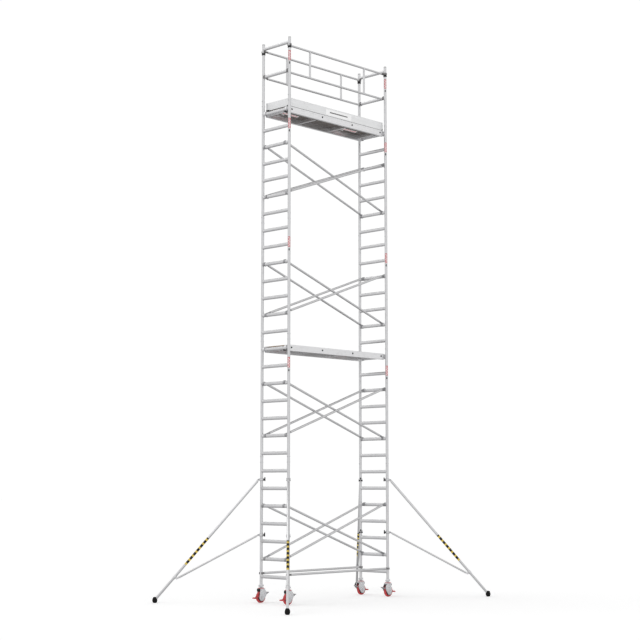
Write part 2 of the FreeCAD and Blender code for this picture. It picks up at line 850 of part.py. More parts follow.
def stabiliser():
    """Main tube, strut, two post clamps, and the sleeve that joins strut to main tube."""
    solids = [clamp(upper_clamp_z), clamp(lower_clamp_z)]
    solids += pivoted_tube(main_top, foot_centre, stabiliser_radius, stabiliser_wall, 0)
    solids += pivoted_tube(strut_top, strut_end, strut_radius, stabiliser_wall, 1)
    half = main_axis * (sleeve_length / 2)
    sleeve_radius = stabiliser_radius + sleeve_margin
    parts = [rod(strut_meets - half, strut_meets + half, sleeve_radius)]
    lug_inner = eye_width / 2 + lug_gap
    lug_outer = lug_inner + lug_thickness
    for side in (-1, 1):
        lug = rod(strut_end + Y_AXIS * (side * lug_inner),
                  strut_end + Y_AXIS * (side * lug_outer), lug_radius)
        neck_points = bar_outline((strut_meets.x, strut_meets.z), (strut_end.x, strut_end.z),
                                  2 * lug_radius)
        neck = plate_xz(neck_points, side * lug_inner, side * lug_outer)
        parts += [lug, neck]
    parts.append(rod(strut_end - Y_AXIS * lug_outer, strut_end + Y_AXIS * lug_outer,
                     pivot_bolt_radius))
    hole = rod(strut_meets - half * 2, strut_meets + half * 2, stabiliser_radius)
    solids.append(joined(parts).cut(hole))
    return solids


def stabiliser_foot():
    """Rubber foot with a flat sole, moulded round the tube's end."""
    centre = V(stabiliser_reach, 0, foot_ball_height)
    ball = Part.makeSphere(foot_radius, centre)
    neck = Part.makeCone(foot_radius * 0.9, stabiliser_radius + 6,
                         foot_height - foot_ball_height, centre, Z_AXIS)
    sole = Part.makeCone(foot_sole_radius, foot_radius * 0.9, foot_ball_height,
                         V(stabiliser_reach, 0, 0), Z_AXIS)
    shape = joined([ball, neck, sole])
    reach = 2 * foot_radius
    under = block(stabiliser_reach - reach, stabiliser_reach + reach, -reach, reach, 0, -reach)
    socket = rod(foot_centre - main_axis * (3 * foot_radius), foot_centre, stabiliser_radius)
    return [shape.cut([under, socket])]


def clamp_knob(z):
    """Three-lobed knob with a stud, on the inboard side of a clamp."""
    start = -clamp_radius - knob_gap
    hub = rod(V(start, 0, z), V(start - knob_hub_length, 0, z), knob_hub_radius)
    parts = [hub]
    outer = start - knob_hub_length
    for i in range(3):
        angle = math.radians(90 + 120 * i)
        y, up = knob_lobe_reach * math.cos(angle), knob_lobe_reach * math.sin(angle)
        parts.append(rod(V(outer + knob_lobe_thickness, y, z + up), V(outer, y, z + up),
                         knob_lobe_radius))
        bar = block(outer + knob_lobe_thickness, outer, -knob_lobe_radius * 0.8,
                    knob_lobe_radius * 0.8, 0, knob_lobe_reach)
        bar.rotate(ORIGIN, X_AXIS, math.degrees(angle) - 90)
        bar.translate(V(0, 0, z))
        parts.append(bar)
    parts.append(rod(V(start, 0, z), V(start + stud_length, 0, z), stud_radius))
    return [joined(parts)]


# ---------------------------------------------------------------- nodes
def main():
    os.makedirs("parts", exist_ok=True)
    for level in range(1, levels + 1):
        save("ladder_frames_level_%d" % level, ladder_frames(level))
    save("guard_frames", guard_frames())
    save("snap_pins", snap_pins())
    save("post_end_plugs", post_end_plugs())
    save("brace_tubes", brace_tubes())
    save("brace_claws", brace_claws())
    save("base_braces", base_braces())
    save("guardrails", guardrails())
    save("guardrail_claws", guardrail_claws())
    save("mid_deck_frame", deck_frame(deck_rungs[0]))
    save("top_deck_frame", deck_frame(deck_rungs[1]))
    panels = []
    for number, side in zip(deck_rungs, hatch_sides):
        panels += deck_panels(number, side)
    save("deck_panels", panels)
    save("mid_hatch", hatch(deck_rungs[0], hatch_sides[0]))
    save("top_hatch", hatch(deck_rungs[1], hatch_sides[1]))
    save("deck_claws", deck_claws())
    save("deck_bolts", deck_bolts())
    save("toe_boards", toe_boards())
    leg_parts = {
        "castor_spindle": castor_spindle(),
        "jack_nut": jack_nut(),
        "castor_fork": castor_fork(),
        "castor_tyre": castor_tyre(),
        "castor_rim": castor_rim(),
        "brake_lever": brake_lever(),
    }
    stabiliser_parts = {
        "stabiliser": stabiliser(),
        "stabiliser_foot": stabiliser_foot(),
        "clamp_knob_upper": clamp_knob(upper_clamp_z),
        "clamp_knob_lower": clamp_knob(lower_clamp_z),
    }
    for corner in CORNERS:
        for name, solids in leg_parts.items():
            save("%s_%s" % (name, corner), [placed(s, corner) for s in solids])
        for name, solids in stabiliser_parts.items():
            save("%s_%s" % (name, corner), [swung(s, corner) for s in solids])


main()
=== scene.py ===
"""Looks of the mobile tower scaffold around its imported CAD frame.

Metres. The tower's centre is on the ground at the origin, +X runs along the long side and +Y
towards the back. Each piece is built where the CAD says and rides on its CAD body.
"""
import math

import bmesh
import bpy
from mathutils import Matrix, Vector


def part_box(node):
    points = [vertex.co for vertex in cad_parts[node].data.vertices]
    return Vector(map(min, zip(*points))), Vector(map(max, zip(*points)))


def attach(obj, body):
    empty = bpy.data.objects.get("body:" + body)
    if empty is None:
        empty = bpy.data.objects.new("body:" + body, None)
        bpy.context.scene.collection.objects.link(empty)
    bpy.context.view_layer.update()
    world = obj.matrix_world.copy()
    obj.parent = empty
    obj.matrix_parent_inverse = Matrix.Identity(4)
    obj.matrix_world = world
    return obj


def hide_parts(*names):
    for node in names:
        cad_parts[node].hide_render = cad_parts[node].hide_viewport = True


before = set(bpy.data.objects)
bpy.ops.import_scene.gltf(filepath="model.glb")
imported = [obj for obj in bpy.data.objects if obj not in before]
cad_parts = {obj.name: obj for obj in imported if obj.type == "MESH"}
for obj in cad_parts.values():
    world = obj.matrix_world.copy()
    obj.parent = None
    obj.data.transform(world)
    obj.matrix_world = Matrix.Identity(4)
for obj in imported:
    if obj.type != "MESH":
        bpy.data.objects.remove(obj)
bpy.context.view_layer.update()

X, Y, Z = Vector((1, 0, 0)), Vector((0, 1, 0)), Vector((0, 0, 1))
CORNERS = {
    "front_left": (-1, -1),
    "front_right": (1, -1),
    "back_left": (-1, 1),
    "back_right": (1, 1),
}

# ---------------------------------------------------------------- sizes the CAD model has
POST_RADIUS = 0.0255
RUNG_HALF_WIDTH = 0.024
RUNG_HALF_HEIGHT = 0.029
FIRST_RUNG = 0.445
RUNG_PITCH = 0.3
RUNGS_PER_LEVEL = 7
TOP_RUNG = FIRST_RUNG + RUNG_PITCH * 27
GUARD_RAILS = (TOP_RUNG + 0.683, TOP_RUNG + 1.195)
DECK_TOPS = {"mid": FIRST_RUNG + RUNG_PITCH * 13 + 0.058, "top": TOP_RUNG + 0.058}
HATCH_SIDE = {"mid": -1, "top": 1}
DECK_HALF = 0.290
RAIL_INSIDE = 0.245
RAIL_BELOW = 0.108
PLY = 0.012
CROSS_X = 0.392
END_X = 1.160
CROSS_PLACES = (-END_X, -CROSS_X, CROSS_X, END_X)
LID_HALF = 0.234
CLAMP_RADIUS = 0.03655
CLAMP_BOLTS_OUT = 0.052
KNOB_HEIGHTS = {"upper": 2.095, "lower": 1.148}
CROWN_TOP = 0.2435
TOE_END = 1.222
HALF_END = 0.225
RAIL_TUBE = 0.019

low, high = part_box("ladder_frames_level_1")
HALF_X = high.x - POST_RADIUS
HALF_Y = high.y - POST_RADIUS

# ---------------------------------------------------------------- sizes read from the photograph
LABEL_TALL = 0.18
LABEL_TOPS = (9.583, 8.368, 6.268, 4.179)
LABEL_FACING = math.radians(-132)
TAPE_START = 0.487
TAPE_BANDS = [0.024] + [0.036, 0.053] * 6 + [0.036]
UNDERSIDE_LABELS = (-0.81, 0.74)
COLLAR_DROP = 0.040
CAMERA_AT = (-18.335, -17.604, 2.009)
CAMERA_AIM = Vector((0.71363, 0.69103, 0.11492))
CAMERA_LENS = 80.03


# ---------------------------------------------------------------- mesh building
class Shape:
    """Points and faces of one piece, with a paint number on each face."""

    def __init__(self):
        self.points, self.faces, self.paint = [], [], []

    def loft(self, rings, paint=0, loop=False, caps=True, around=True):
        """Skin over rings of equal point counts."""
        start, count, rows = len(self.points), len(rings[0]), len(rings)
        for ring in rings:
            self.points += [tuple(p) for p in ring]
        for i in range(rows if loop else rows - 1):
            a, b = start + i * count, start + (i + 1) % rows * count
            for j in range(count if around else count - 1):
                k = (j + 1) % count
                self.faces.append((a + j, a + k, b + k, b + j))
                self.paint.append(paint)
        if caps and not loop and around:
            last = start + (rows - 1) * count
            self.faces.append(tuple(range(start + count - 1, start - 1, -1)))
            self.faces.append(tuple(range(last, last + count)))
            self.paint += [paint, paint]

    def lathe(self, place, profile, segments=48, paint=0, loop=False):
        """Turned shape from (radius, height) pairs about the Z axis of a placement."""
        turns = [2 * math.pi * i / segments for i in range(segments)]
        rings = [[place @ Vector((r * math.cos(t), r * math.sin(t), h)) for t in turns]
                 for r, h in profile]
        self.loft(rings, paint, loop)

    def prism(self, place, outline, low, high, paint=0):
        """Straight plate from an outline in a placement's XY plane."""
        self.loft([[place @ Vector((x, y, h)) for x, y in outline] for h in (low, high)], paint)

    def block(self, corner, opposite, paint=0):
        """Bar between two opposite corners."""
        (x0, x1), (y0, y1), (z0, z1) = [sorted(pair) for pair in zip(corner, opposite)]
        self.prism(Matrix(), [(x0, y0), (x1, y0), (x1, y1), (x0, y1)], z0, z1, paint)

    def wire(self, path, radius, segments=10, paint=0, loop=False):
        """Round bead along a path."""
        rings, count = [], len(path)
        for i, point in enumerate(path):
            after = path[(i + 1) % count] if loop or i + 1 < count else point
            before = path[i - 1] if loop or i else point
            along = (after - before).normalized()
            side = along.cross(Z if abs(along.z) < 0.9 else X).normalized()
            up = side.cross(along)
            thick = radius(i / count) if callable(radius) else radius
            turns = [2 * math.pi * j / segments for j in range(segments)]
            rings.append([point + (side * math.cos(t) + up * math.sin(t)) * thick for t in turns])
        self.loft(rings, paint, loop)


def facing(origin, direction, across=None):
    """Placement whose Z axis points along a direction, and X axis across where that is given."""
    along = Vector(direction).normalized()
    side = across if across is not None else (X if abs(along.x) < 0.9 else Y)
    side = (side - along * side.dot(along)).normalized()
    place = Matrix((side, along.cross(side), along)).transposed().to_4x4()
    place.translation = origin
    return place


def rounded(points, radius, steps=4):
    """Profile with each inner corner rounded off."""
    made = [points[0]]
    for before, corner, after in zip(points, points[1:], points[2:]):
        a, c, b = Vector(before), Vector(corner), Vector(after)
        reach = min(radius, (a - c).length / 2, (b - c).length / 2)
        start, end = c + (a - c).normalized() * reach, c + (b - c).normalized() * reach
        for i in range(steps + 1):
            t = i / steps
            made.append(tuple(start * (1 - t) ** 2 + c * (2 * t * (1 - t)) + end * t * t))
    return made + [points[-1]]


def hexagon(radius):
    """Outline of a bolt head or nut."""
    return [(radius * math.cos(math.pi * i / 3), radius * math.sin(math.pi * i / 3))
            for i in range(6)]


def ring_outline(points, radius, steps=4):
    """Closed outline with every corner rounded off."""
    return rounded([points[-1]] + points + [points[0]], radius, steps)[1:-1]


def soften(obj, width, steps=2, weld=False):
    """Rounds an object's hard edges."""
    if weld:
        obj.modifiers.new("weld", "WELD").merge_threshold = 1e-5
    edge = obj.modifiers.new("edges", "BEVEL")
    edge.width, edge.segments, edge.limit_method = width, steps, "ANGLE"
    edge.angle_limit = math.radians(40)
    edge.harden_normals = True


def piece(name, shape, finishes, body="root", bevel=0.0, replaces=()):
    """Object from a shape, riding on its body."""
    data = bpy.data.meshes.new(name)
    data.from_pydata(shape.points, [], shape.faces)
    data.polygons.foreach_set("material_index", shape.paint)
    made = bmesh.new()
    made.from_mesh(data)
    bmesh.ops.remove_doubles(made, verts=made.verts, dist=1e-6)
    bmesh.ops.dissolve_degenerate(made, edges=made.edges, dist=1e-7)
    bmesh.ops.recalc_face_normals(made, faces=made.faces)
    made.to_mesh(data)
    made.free()
    for finish in finishes:
        data.materials.append(finish)
    data.shade_smooth()
    data.set_sharp_from_angle(angle=math.radians(38))
    obj = bpy.data.objects.new(name, data)
    bpy.context.scene.collection.objects.link(obj)
    if bevel:
        soften(obj, bevel)
    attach(obj, body)
    if replaces:
        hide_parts(*replaces)
    return obj


# ---------------------------------------------------------------- finishes
class Finish:
    """A procedural material and the nodes that feed its shader."""

    def __init__(self, name, **constants):
        self.material = bpy.data.materials.new(name)
        self.material.use_nodes = True
        self.tree = self.material.node_tree
        self.shader = self.tree.nodes["Principled BSDF"]
        for socket, value in constants.items():
            self.shader.inputs[socket.replace("_", " ")].default_value = value
        own = self.add("ShaderNodeTexCoord")
        self.place, self.normal = own.outputs["Object"], own.outputs["Normal"]

    def add(self, kind, inputs=(), **settings):
        """New node. Inputs are (socket, value or link) pairs."""
        node = self.tree.nodes.new(kind)
        for key, value in settings.items():
            setattr(node, key, value)
        for socket, value in inputs:
            if isinstance(value, bpy.types.NodeSocket):
                self.tree.links.new(value, node.inputs[socket])
            else:
                node.inputs[socket].default_value = value
        return node

    def noise(self, scale, stretch=(1, 1, 1), detail=4.0, roughness=0.55):
        """Noise about the object's own coordinates, drawn out along an axis by stretch."""
        spot = self.add("ShaderNodeMapping", [(0, self.place), (3, stretch)])
        made = self.add("ShaderNodeTexNoise", [
            ("Vector", spot.outputs[0]), ("Scale", scale), ("Detail", detail),
            ("Roughness", roughness)])
        return made.outputs["Fac"]

    def cells(self, scale, stretch=(1, 1, 1), feature="F1", output="Distance"):
        """Cell pattern about the object's own coordinates."""
        spot = self.add("ShaderNodeMapping", [(0, self.place), (3, stretch)])
        made = self.add("ShaderNodeTexVoronoi", [("Vector", spot.outputs[0]), ("Scale", scale)],
                        feature=feature)
        return made.outputs[output]

    def remap(self, value, low, high, to_low=0.0, to_high=1.0):
        """Value carried from one range to another."""
        return self.add("ShaderNodeMapRange", [
            (0, value), (1, low), (2, high), (3, to_low), (4, to_high)]).outputs[0]

    def maths(self, operation, a, b=0.0):
        """One sum on two values."""
        return self.add("ShaderNodeMath", [(0, a), (1, b)], operation=operation).outputs[0]

    def mix(self, share, first, second):
        """Colour between two others."""
        def whole(colour):
            return colour if isinstance(colour, bpy.types.NodeSocket) else (*colour, 1)
        node = self.add("ShaderNodeMix", [(0, share), (6, whole(first)), (7, whole(second))],
                        data_type="RGBA")
        return node.outputs[2]

    def blend(self, share, first, second):
        """Value between two others."""
        return self.add("ShaderNodeMix", [(0, share), (2, first), (3, second)]).outputs[0]

    def part_of(self, axis):
        """One coordinate, X, Y or Z."""
        return self.add("ShaderNodeSeparateXYZ", [(0, self.place)]).outputs[axis]

    def upward(self, low=0.5, high=0.9):
        """1 where the surface looks up as the piece is made."""
        rise = self.add("ShaderNodeSeparateXYZ", [(0, self.normal)]).outputs["Z"]
        return self.remap(rise, low, high)

    def done(self, colour, roughness, *bumps):
        """Feeds the shader. Bumps are (height, distance, strength)."""
        self.tree.links.new(colour, self.shader.inputs["Base Color"])
        self.tree.links.new(roughness, self.shader.inputs["Roughness"])
        normal = None
        for height, distance, strength in bumps:
            inputs = [("Height", height), ("Distance", distance), ("Strength", strength)]
            if normal is not None:
                inputs.append(("Normal", normal))
            normal = self.add("ShaderNodeBump", inputs).outputs[0]
        if normal is not None:
            self.tree.links.new(normal, self.shader.inputs["Normal"])
        return self.material


def aluminium(name, grains, split=None, ends=None, light=(0.80, 0.80, 0.805),
              dark=(0.70, 0.70, 0.71)):
    """Satin extruded aluminium with drawn lines, handling marks and fine scratches.

    grains are stretches of the drawn lines. With two, split says where the first one holds. ends
    says where a darker casting takes over.
    """
    f = Finish(name, Metallic=1.0, Specular_Tint=(0.72, 0.72, 0.72, 1))
    lines = [f.noise(90, grain, 5, 0.65) for grain in grains]
    line = lines[0] if len(lines) == 1 else f.blend(split(f), lines[1], lines[0])
    cloud = f.noise(2.2, detail=5)
    smudge = f.remap(f.noise(11, detail=7, roughness=0.7), 0.52, 0.72)
    scratch = f.remap(f.noise(26, (1, 1.4, 9), 8, 0.8), 0.66, 0.70)
    colour = f.mix(f.remap(line, 0.3, 0.7), dark, light)
    colour = f.mix(f.remap(cloud, 0.35, 0.65, 0.0, 0.22), colour, dark)
    colour = f.mix(f.maths("MULTIPLY", smudge, 0.16), colour, (0.48, 0.48, 0.49))
    colour = f.mix(f.maths("MULTIPLY", scratch, 0.25), colour, (0.86, 0.86, 0.87))
    if ends:
        colour = f.mix(f.maths("MULTIPLY", ends(f), 0.75), colour, (0.13, 0.12, 0.12))
    rough = f.remap(line, 0.25, 0.75, 0.30, 0.45)
    rough = f.blend(f.maths("MULTIPLY", smudge, 0.6), rough, 0.56)
    return f.done(colour, rough, (line, 0.0004, 0.22), (scratch, 0.0002, 0.2))


def near_posts(f):
    """1 on the castings at the ends of the level braces."""
    return f.maths("GREATER_THAN", f.maths("ABSOLUTE", f.part_of("X")), HALF_X - 0.060)


def on_post(f):
    """1 on the posts of a ladder frame and 0 on its rungs."""
    return f.maths("GREATER_THAN", f.maths("ABSOLUTE", f.part_of("Y")), HALF_Y - POST_RADIUS)


def casting(name, light, dark, metallic=1.0):
    """Sand-cast or forged metal, pitted, with worn high spots."""
    f = Finish(name, Metallic=metallic)
    sand = f.noise(700, detail=3, roughness=0.6)
    pits = f.remap(f.cells(260), 0.0, 0.35)
    cloud = f.noise(24, detail=5)
    worn = f.remap(f.noise(60, detail=6, roughness=0.7), 0.56, 0.66)
    colour = f.mix(f.remap(cloud, 0.3, 0.7), dark, light)
    colour = f.mix(f.maths("MULTIPLY", worn, 0.4), colour, tuple(min(1, c * 1.35) for c in light))
    rough = f.blend(worn, f.remap(sand, 0.3, 0.7, 0.44, 0.62), 0.34)
    return f.done(colour, rough, (sand, 0.0005, 0.35), (pits, 0.0004, 0.25))


def zinc(name, light=(0.70, 0.71, 0.73), dark=(0.50, 0.51, 0.54)):
    """Bright zinc-plated steel with faint crystal patches."""
    f = Finish(name, Metallic=1.0)
    patch = f.cells(70, output="Color")
    tone = f.add("ShaderNodeSeparateXYZ", [(0, patch)]).outputs["X"]
    grime = f.remap(f.noise(38, detail=7, roughness=0.7), 0.52, 0.70)
    fine = f.noise(420, detail=4)
    colour = f.mix(f.remap(tone, 0, 1, 0.15, 0.85), dark, light)
    colour = f.mix(f.maths("MULTIPLY", grime, 0.35), colour, (0.30, 0.29, 0.28))
    rough = f.blend(f.maths("MULTIPLY", grime, 0.7), f.remap(tone, 0, 1, 0.24, 0.38), 0.6)
    return f.done(colour, rough, (fine, 0.0003, 0.2))


def moulded(name, colour, worn, rough=(0.38, 0.55), grain=520, dust=0.25, coat=0.0,
            shine=0.5):
    """Moulded plastic or rubber with spark-eroded grain, scuffs and settled dust."""
    f = Finish(name, Coat_Weight=coat, Coat_Roughness=0.25, Specular_IOR_Level=shine)
    fine = f.noise(grain, detail=3)
    scuff = f.remap(f.noise(75, detail=8, roughness=0.75), 0.56, 0.64)
    cloud = f.noise(9, detail=5)
    tone = f.mix(f.remap(cloud, 0.3, 0.7, 0.0, 0.6), colour, tuple(c * 0.78 for c in colour))
    tone = f.mix(f.maths("MULTIPLY", scuff, 0.45), tone, worn)
    lying = f.maths("MULTIPLY", f.upward(), f.remap(cloud, 0.35, 0.7, 0.1, dust))
    tone = f.mix(lying, tone, (0.52, 0.50, 0.47))
    surface = f.remap(fine, 0.3, 0.7, *rough)
    surface = f.blend(f.maths("MULTIPLY", scuff, 0.7), surface, 0.72)
    return f.done(tone, surface, (fine, 0.0004, 0.35), (scuff, 0.0003, 0.3))


def plywood():
    """Film-faced birch ply: brown film with a wire-mesh print on top, laminations at the edges."""
    f = Finish("plywood_film", Coat_Weight=0.15, Coat_Roughness=0.35)
    rise = f.add("ShaderNodeSeparateXYZ", [(0, f.normal)]).outputs["Z"]
    flat = f.maths("GREATER_THAN", f.maths("ABSOLUTE", rise), 0.5)
    grain = f.noise(16, (0.10, 1, 1), 8, 0.65)
    fibre = f.noise(240, (0.03, 1, 1), 4)
    film = f.mix(f.remap(grain, 0.3, 0.7), (0.036, 0.024, 0.018), (0.068, 0.047, 0.036))
    film = f.mix(f.remap(fibre, 0.45, 0.75, 0.0, 0.35), film, (0.105, 0.078, 0.060))
    scuffs = f.remap(f.noise(30, detail=9, roughness=0.78), 0.55, 0.68)
    trodden = f.maths("MULTIPLY", scuffs, f.remap(rise, 0.4, 0.9, 0.08, 0.55))
    film = f.mix(trodden, film, (0.27, 0.235, 0.20))
    bands = f.add("ShaderNodeTexWave", [
        ("Vector", f.place), ("Scale", 150.0), ("Distortion", 0.6), ("Detail", 2.0)],
        bands_direction="Z").outputs["Fac"]
    edge = f.mix(bands, (0.20, 0.115, 0.06), (0.50, 0.36, 0.22))
    colour = f.mix(flat, edge, film)
    weave = [f.add("ShaderNodeTexWave", [
        ("Vector", f.place), ("Scale", 42.0), ("Distortion", 0.2)],
        bands_direction=axis).outputs["Fac"] for axis in ("X", "Y")]
    mesh = f.maths("MULTIPLY", f.maths("MAXIMUM", *weave), f.remap(rise, 0.5, 0.9))
    rough = f.blend(trodden, f.remap(fibre, 0.3, 0.7, 0.34, 0.52), 0.74)
    return f.done(colour, rough, (fibre, 0.0003, 0.3), (mesh, 0.0008, 0.45))


def board_film():
    """Pale foil-faced toe board with faint grain, smears and chipped spots."""
    f = Finish("toe_board_foil", Metallic=0.25)
    brushed = f.noise(60, (0.03, 1, 1), 6, 0.6)
    cloud = f.noise(3.0, detail=6)
    chips = f.remap(f.noise(95, detail=8, roughness=0.8), 0.68, 0.71)
    smear = f.remap(f.noise(14, (0.4, 1, 1), 7, 0.7), 0.54, 0.72)
    colour = f.mix(f.remap(brushed, 0.3, 0.7), (0.77, 0.775, 0.78), (0.85, 0.855, 0.86))
    colour = f.mix(f.remap(cloud, 0.35, 0.65, 0.0, 0.25), colour, (0.70, 0.70, 0.705))
    colour = f.mix(f.maths("MULTIPLY", smear, 0.20), colour, (0.52, 0.51, 0.50))
    colour = f.mix(chips, colour, (0.36, 0.33, 0.30))
    rough = f.blend(smear, f.remap(brushed, 0.3, 0.7, 0.36, 0.50), 0.62)
    return f.done(colour, rough, (brushed, 0.0003, 0.25), (chips, 0.0003, 0.4))


def film(name, colour, edge=0.7, coat=0.3):
    """Printed sticker film, satin, slightly rubbed."""
    f = Finish(name, Coat_Weight=coat, Coat_Roughness=0.2, Specular_IOR_Level=coat)
    rub = f.remap(f.noise(140, detail=8, roughness=0.75), 0.56, 0.68)
    cloud = f.noise(20, detail=4)
    tone = f.mix(f.remap(cloud, 0.3, 0.7, 0.0, 0.5), colour, tuple(c * 0.85 for c in colour))
    tone = f.mix(f.maths("MULTIPLY", rub, 0.3), tone, (edge, edge, edge))
    rough = f.remap(cloud, 0.3, 0.7, 0.30, 0.46)
    return f.done(tone, rough, (rub, 0.0001, 0.3))


FRAME_METAL = aluminium("aluminium_frames", [(1, 1, 0.02), (1, 0.02, 1)], on_post)
LONG_METAL = aluminium("aluminium_along_x", [(0.02, 1, 1)])
LEVEL_METAL = aluminium("aluminium_level_braces", [(0.02, 1, 1)], ends=near_posts)
DECK_METAL = aluminium("aluminium_deck_rails", [(0.02, 1, 1)], light=(0.95, 0.95, 0.955),
                       dark=(0.90, 0.90, 0.91))
BRACE_METAL = aluminium("aluminium_braces", [(0.05, 1, 0.12)])
WELD = casting("aluminium_weld", (0.80, 0.80, 0.81), (0.62, 0.62, 0.63))
LIGHT_CAST = casting("aluminium_cast_light", (0.84, 0.84, 0.85), (0.70, 0.70, 0.71))
CAST = casting("aluminium_cast", (0.52, 0.52, 0.53), (0.38, 0.38, 0.39))
DULL_CAST = casting("cast_grey", (0.34, 0.33, 0.33), (0.22, 0.22, 0.22))
DARK_CAST = casting("dark_cast", (0.20, 0.19, 0.19), (0.11, 0.105, 0.105), 0.7)
ZINC = zinc("zinc_plate", (0.78, 0.785, 0.80), (0.64, 0.645, 0.66))
DULL_STEEL = zinc("dull_steel", (0.42, 0.42, 0.44), (0.28, 0.28, 0.30))
RED_RUBBER = moulded("red_polyurethane", (0.52, 0.035, 0.04), (0.42, 0.14, 0.13), (0.34, 0.50))
RIM = moulded("rim_polyamide", (0.045, 0.04, 0.038), (0.15, 0.145, 0.14))
RED_PAINT = moulded("red_powder_coat", (0.56, 0.03, 0.035), (0.33, 0.10, 0.09), (0.28, 0.42),
                    340, coat=0.3)
RUBBER = moulded("black_rubber", (0.008, 0.008, 0.008), (0.028, 0.027, 0.026), (0.60, 0.80), 380,
                 dust=0.06, shine=0.15)
RUBBER_GREY = moulded("grey_seal_rubber", (0.33, 0.33, 0.33), (0.42, 0.42, 0.42), (0.5, 0.7), 420)
PLASTIC = moulded("black_nylon", (0.010, 0.010, 0.011), (0.045, 0.045, 0.045), (0.36, 0.52),
                  dust=0.12, shine=0.3)
PLY_FILM = plywood()
TOE = board_film()
LABEL_RED = film("label_red", (0.56, 0.075, 0.085))
LABEL_WHITE = film("label_white", (0.94, 0.94, 0.94), 0.8)
LABEL_GREY = film("label_grey", (0.16, 0.155, 0.155), 0.35)
TAPE_YELLOW = film("tape_yellow", (0.70, 0.51, 0.075), 0.45)
TAPE_BLACK = film("tape_black", (0.008, 0.008, 0.010), 0.10, 0.12)


# ---------------------------------------------------------------- CAD nodes that stay
def paint(node, finish, bevel=0.0):
    """New finish for a CAD node, with softened edges if asked."""
    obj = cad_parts[node]
    obj.data.materials.clear()
    obj.data.materials.append(finish)
    if bevel:
        soften(obj, bevel, weld=True)


for level in range(1, 5):
    paint("ladder_frames_level_%d" % level, FRAME_METAL)
paint("guard_frames", FRAME_METAL)
paint("brace_tubes", BRACE_METAL)
paint("base_braces", LEVEL_METAL)
paint("guardrails", LONG_METAL)
for name in DECK_TOPS:
    paint(name + "_deck_frame", DECK_METAL, 0.0025)
    paint(name + "_hatch", PLY_FILM, 0.0006)
paint("brace_claws", CAST, 0.0015)
paint("guardrail_claws", DULL_CAST, 0.0015)
paint("deck_claws", LIGHT_CAST, 0.002)
paint("deck_bolts", DARK_CAST, 0.001)
paint("snap_pins", ZINC, 0.0008)
paint("post_end_plugs", PLASTIC, 0.0015)
paint("deck_panels", PLY_FILM, 0.0006)
paint("toe_boards", TOE, 0.0012)
for corner in CORNERS:
    paint("castor_fork_" + corner, ZINC, 0.0015)
    paint("jack_nut_" + corner, LIGHT_CAST, 0.003)
    paint("stabiliser_" + corner, BRACE_METAL, 0.001)


# ---------------------------------------------------------------- ladder frames
def rung_section(angle, height):
    """Point on a rung's outline, at an angle about its axis, lifted by height."""
    straight = RUNG_HALF_HEIGHT - RUNG_HALF_WIDTH
    x, z = math.cos(angle), math.sin(angle)
    shift = straight if z > 0 else -straight
    reach = RUNG_HALF_WIDTH + height
    return x * reach, z * reach + shift


def rung_treads(name, rungs, half_y):
    """Raised grip ribs along the top and bottom of rungs at (x, z) places."""
    shape = Shape()
    rib, tall, step = math.radians(3.2), 0.0012, math.radians(11)
    for x, z in rungs:
        for side in (1, -1):
            for i in range(-6, 7):
                middle = side * math.pi / 2 + i * step
                outline = [rung_section(middle + turn, height) for turn, height in (
                    (-rib, -0.0008), (-rib, tall * 0.6), (0, tall), (rib, tall * 0.6),
                    (rib, -0.0008))]
                rings = [[Vector((x + px, end, z + pz)) for px, pz in outline]
                         for end in (-half_y, half_y)]
                shape.loft(rings)
    return piece(name, shape, [FRAME_METAL])


def weld_beads(name, rungs):
    """Rippled weld where each rung meets its posts."""
    shape = Shape()
    steps = 56
    for x, z in rungs:
        for side in (-1, 1):
            path = []
            for i in range(steps):
                px, pz = rung_section(2 * math.pi * i / steps, 0.0004)
                away = math.sqrt(max(0.0, POST_RADIUS ** 2 - px * px))
                away = min(away, POST_RADIUS * 0.93)
                path.append(Vector((x + px, side * (HALF_Y - away - 0.001), z + pz)))
            shape.wire(path, lambda t: 0.0030 + 0.0006 * math.cos(2 * math.pi * 14 * t), 8,
                       loop=True)
    return piece(name, shape, [WELD])


rung_reach = HALF_Y - POST_RADIUS - 0.007
for level in range(4):
    places = [(side * HALF_X, FIRST_RUNG + RUNG_PITCH * (RUNGS_PER_LEVEL * level + i))
              for side in (-1, 1) for i in range(RUNGS_PER_LEVEL)]
    rung_treads("rung_treads_level_%d" % (level + 1), places, rung_reach)
    weld_beads("rung_welds_level_%d" % (level + 1), places)
rails = [(side * HALF_X, z) for side in (-1, 1) for z in GUARD_RAILS]
weld_beads("guard_rail_welds", rails)


def wrapped(shape, base, radius, middle, spread, z0, z1, paint=0, thickness=0.0004):
    """Film patch wrapped round a post."""
    steps = 14
    rings = []
    for i in range(steps + 1):
        angle = middle + spread * (i / steps - 0.5)
        out = Vector((math.cos(angle), math.sin(angle), 0))
        near, far = base + out * (radius - 0.0002), base + out * (radius + thickness)
        rings.append([near + Z * z0, far + Z * z0, far + Z * z1, near + Z * z1])
    shape.loft(rings, paint)


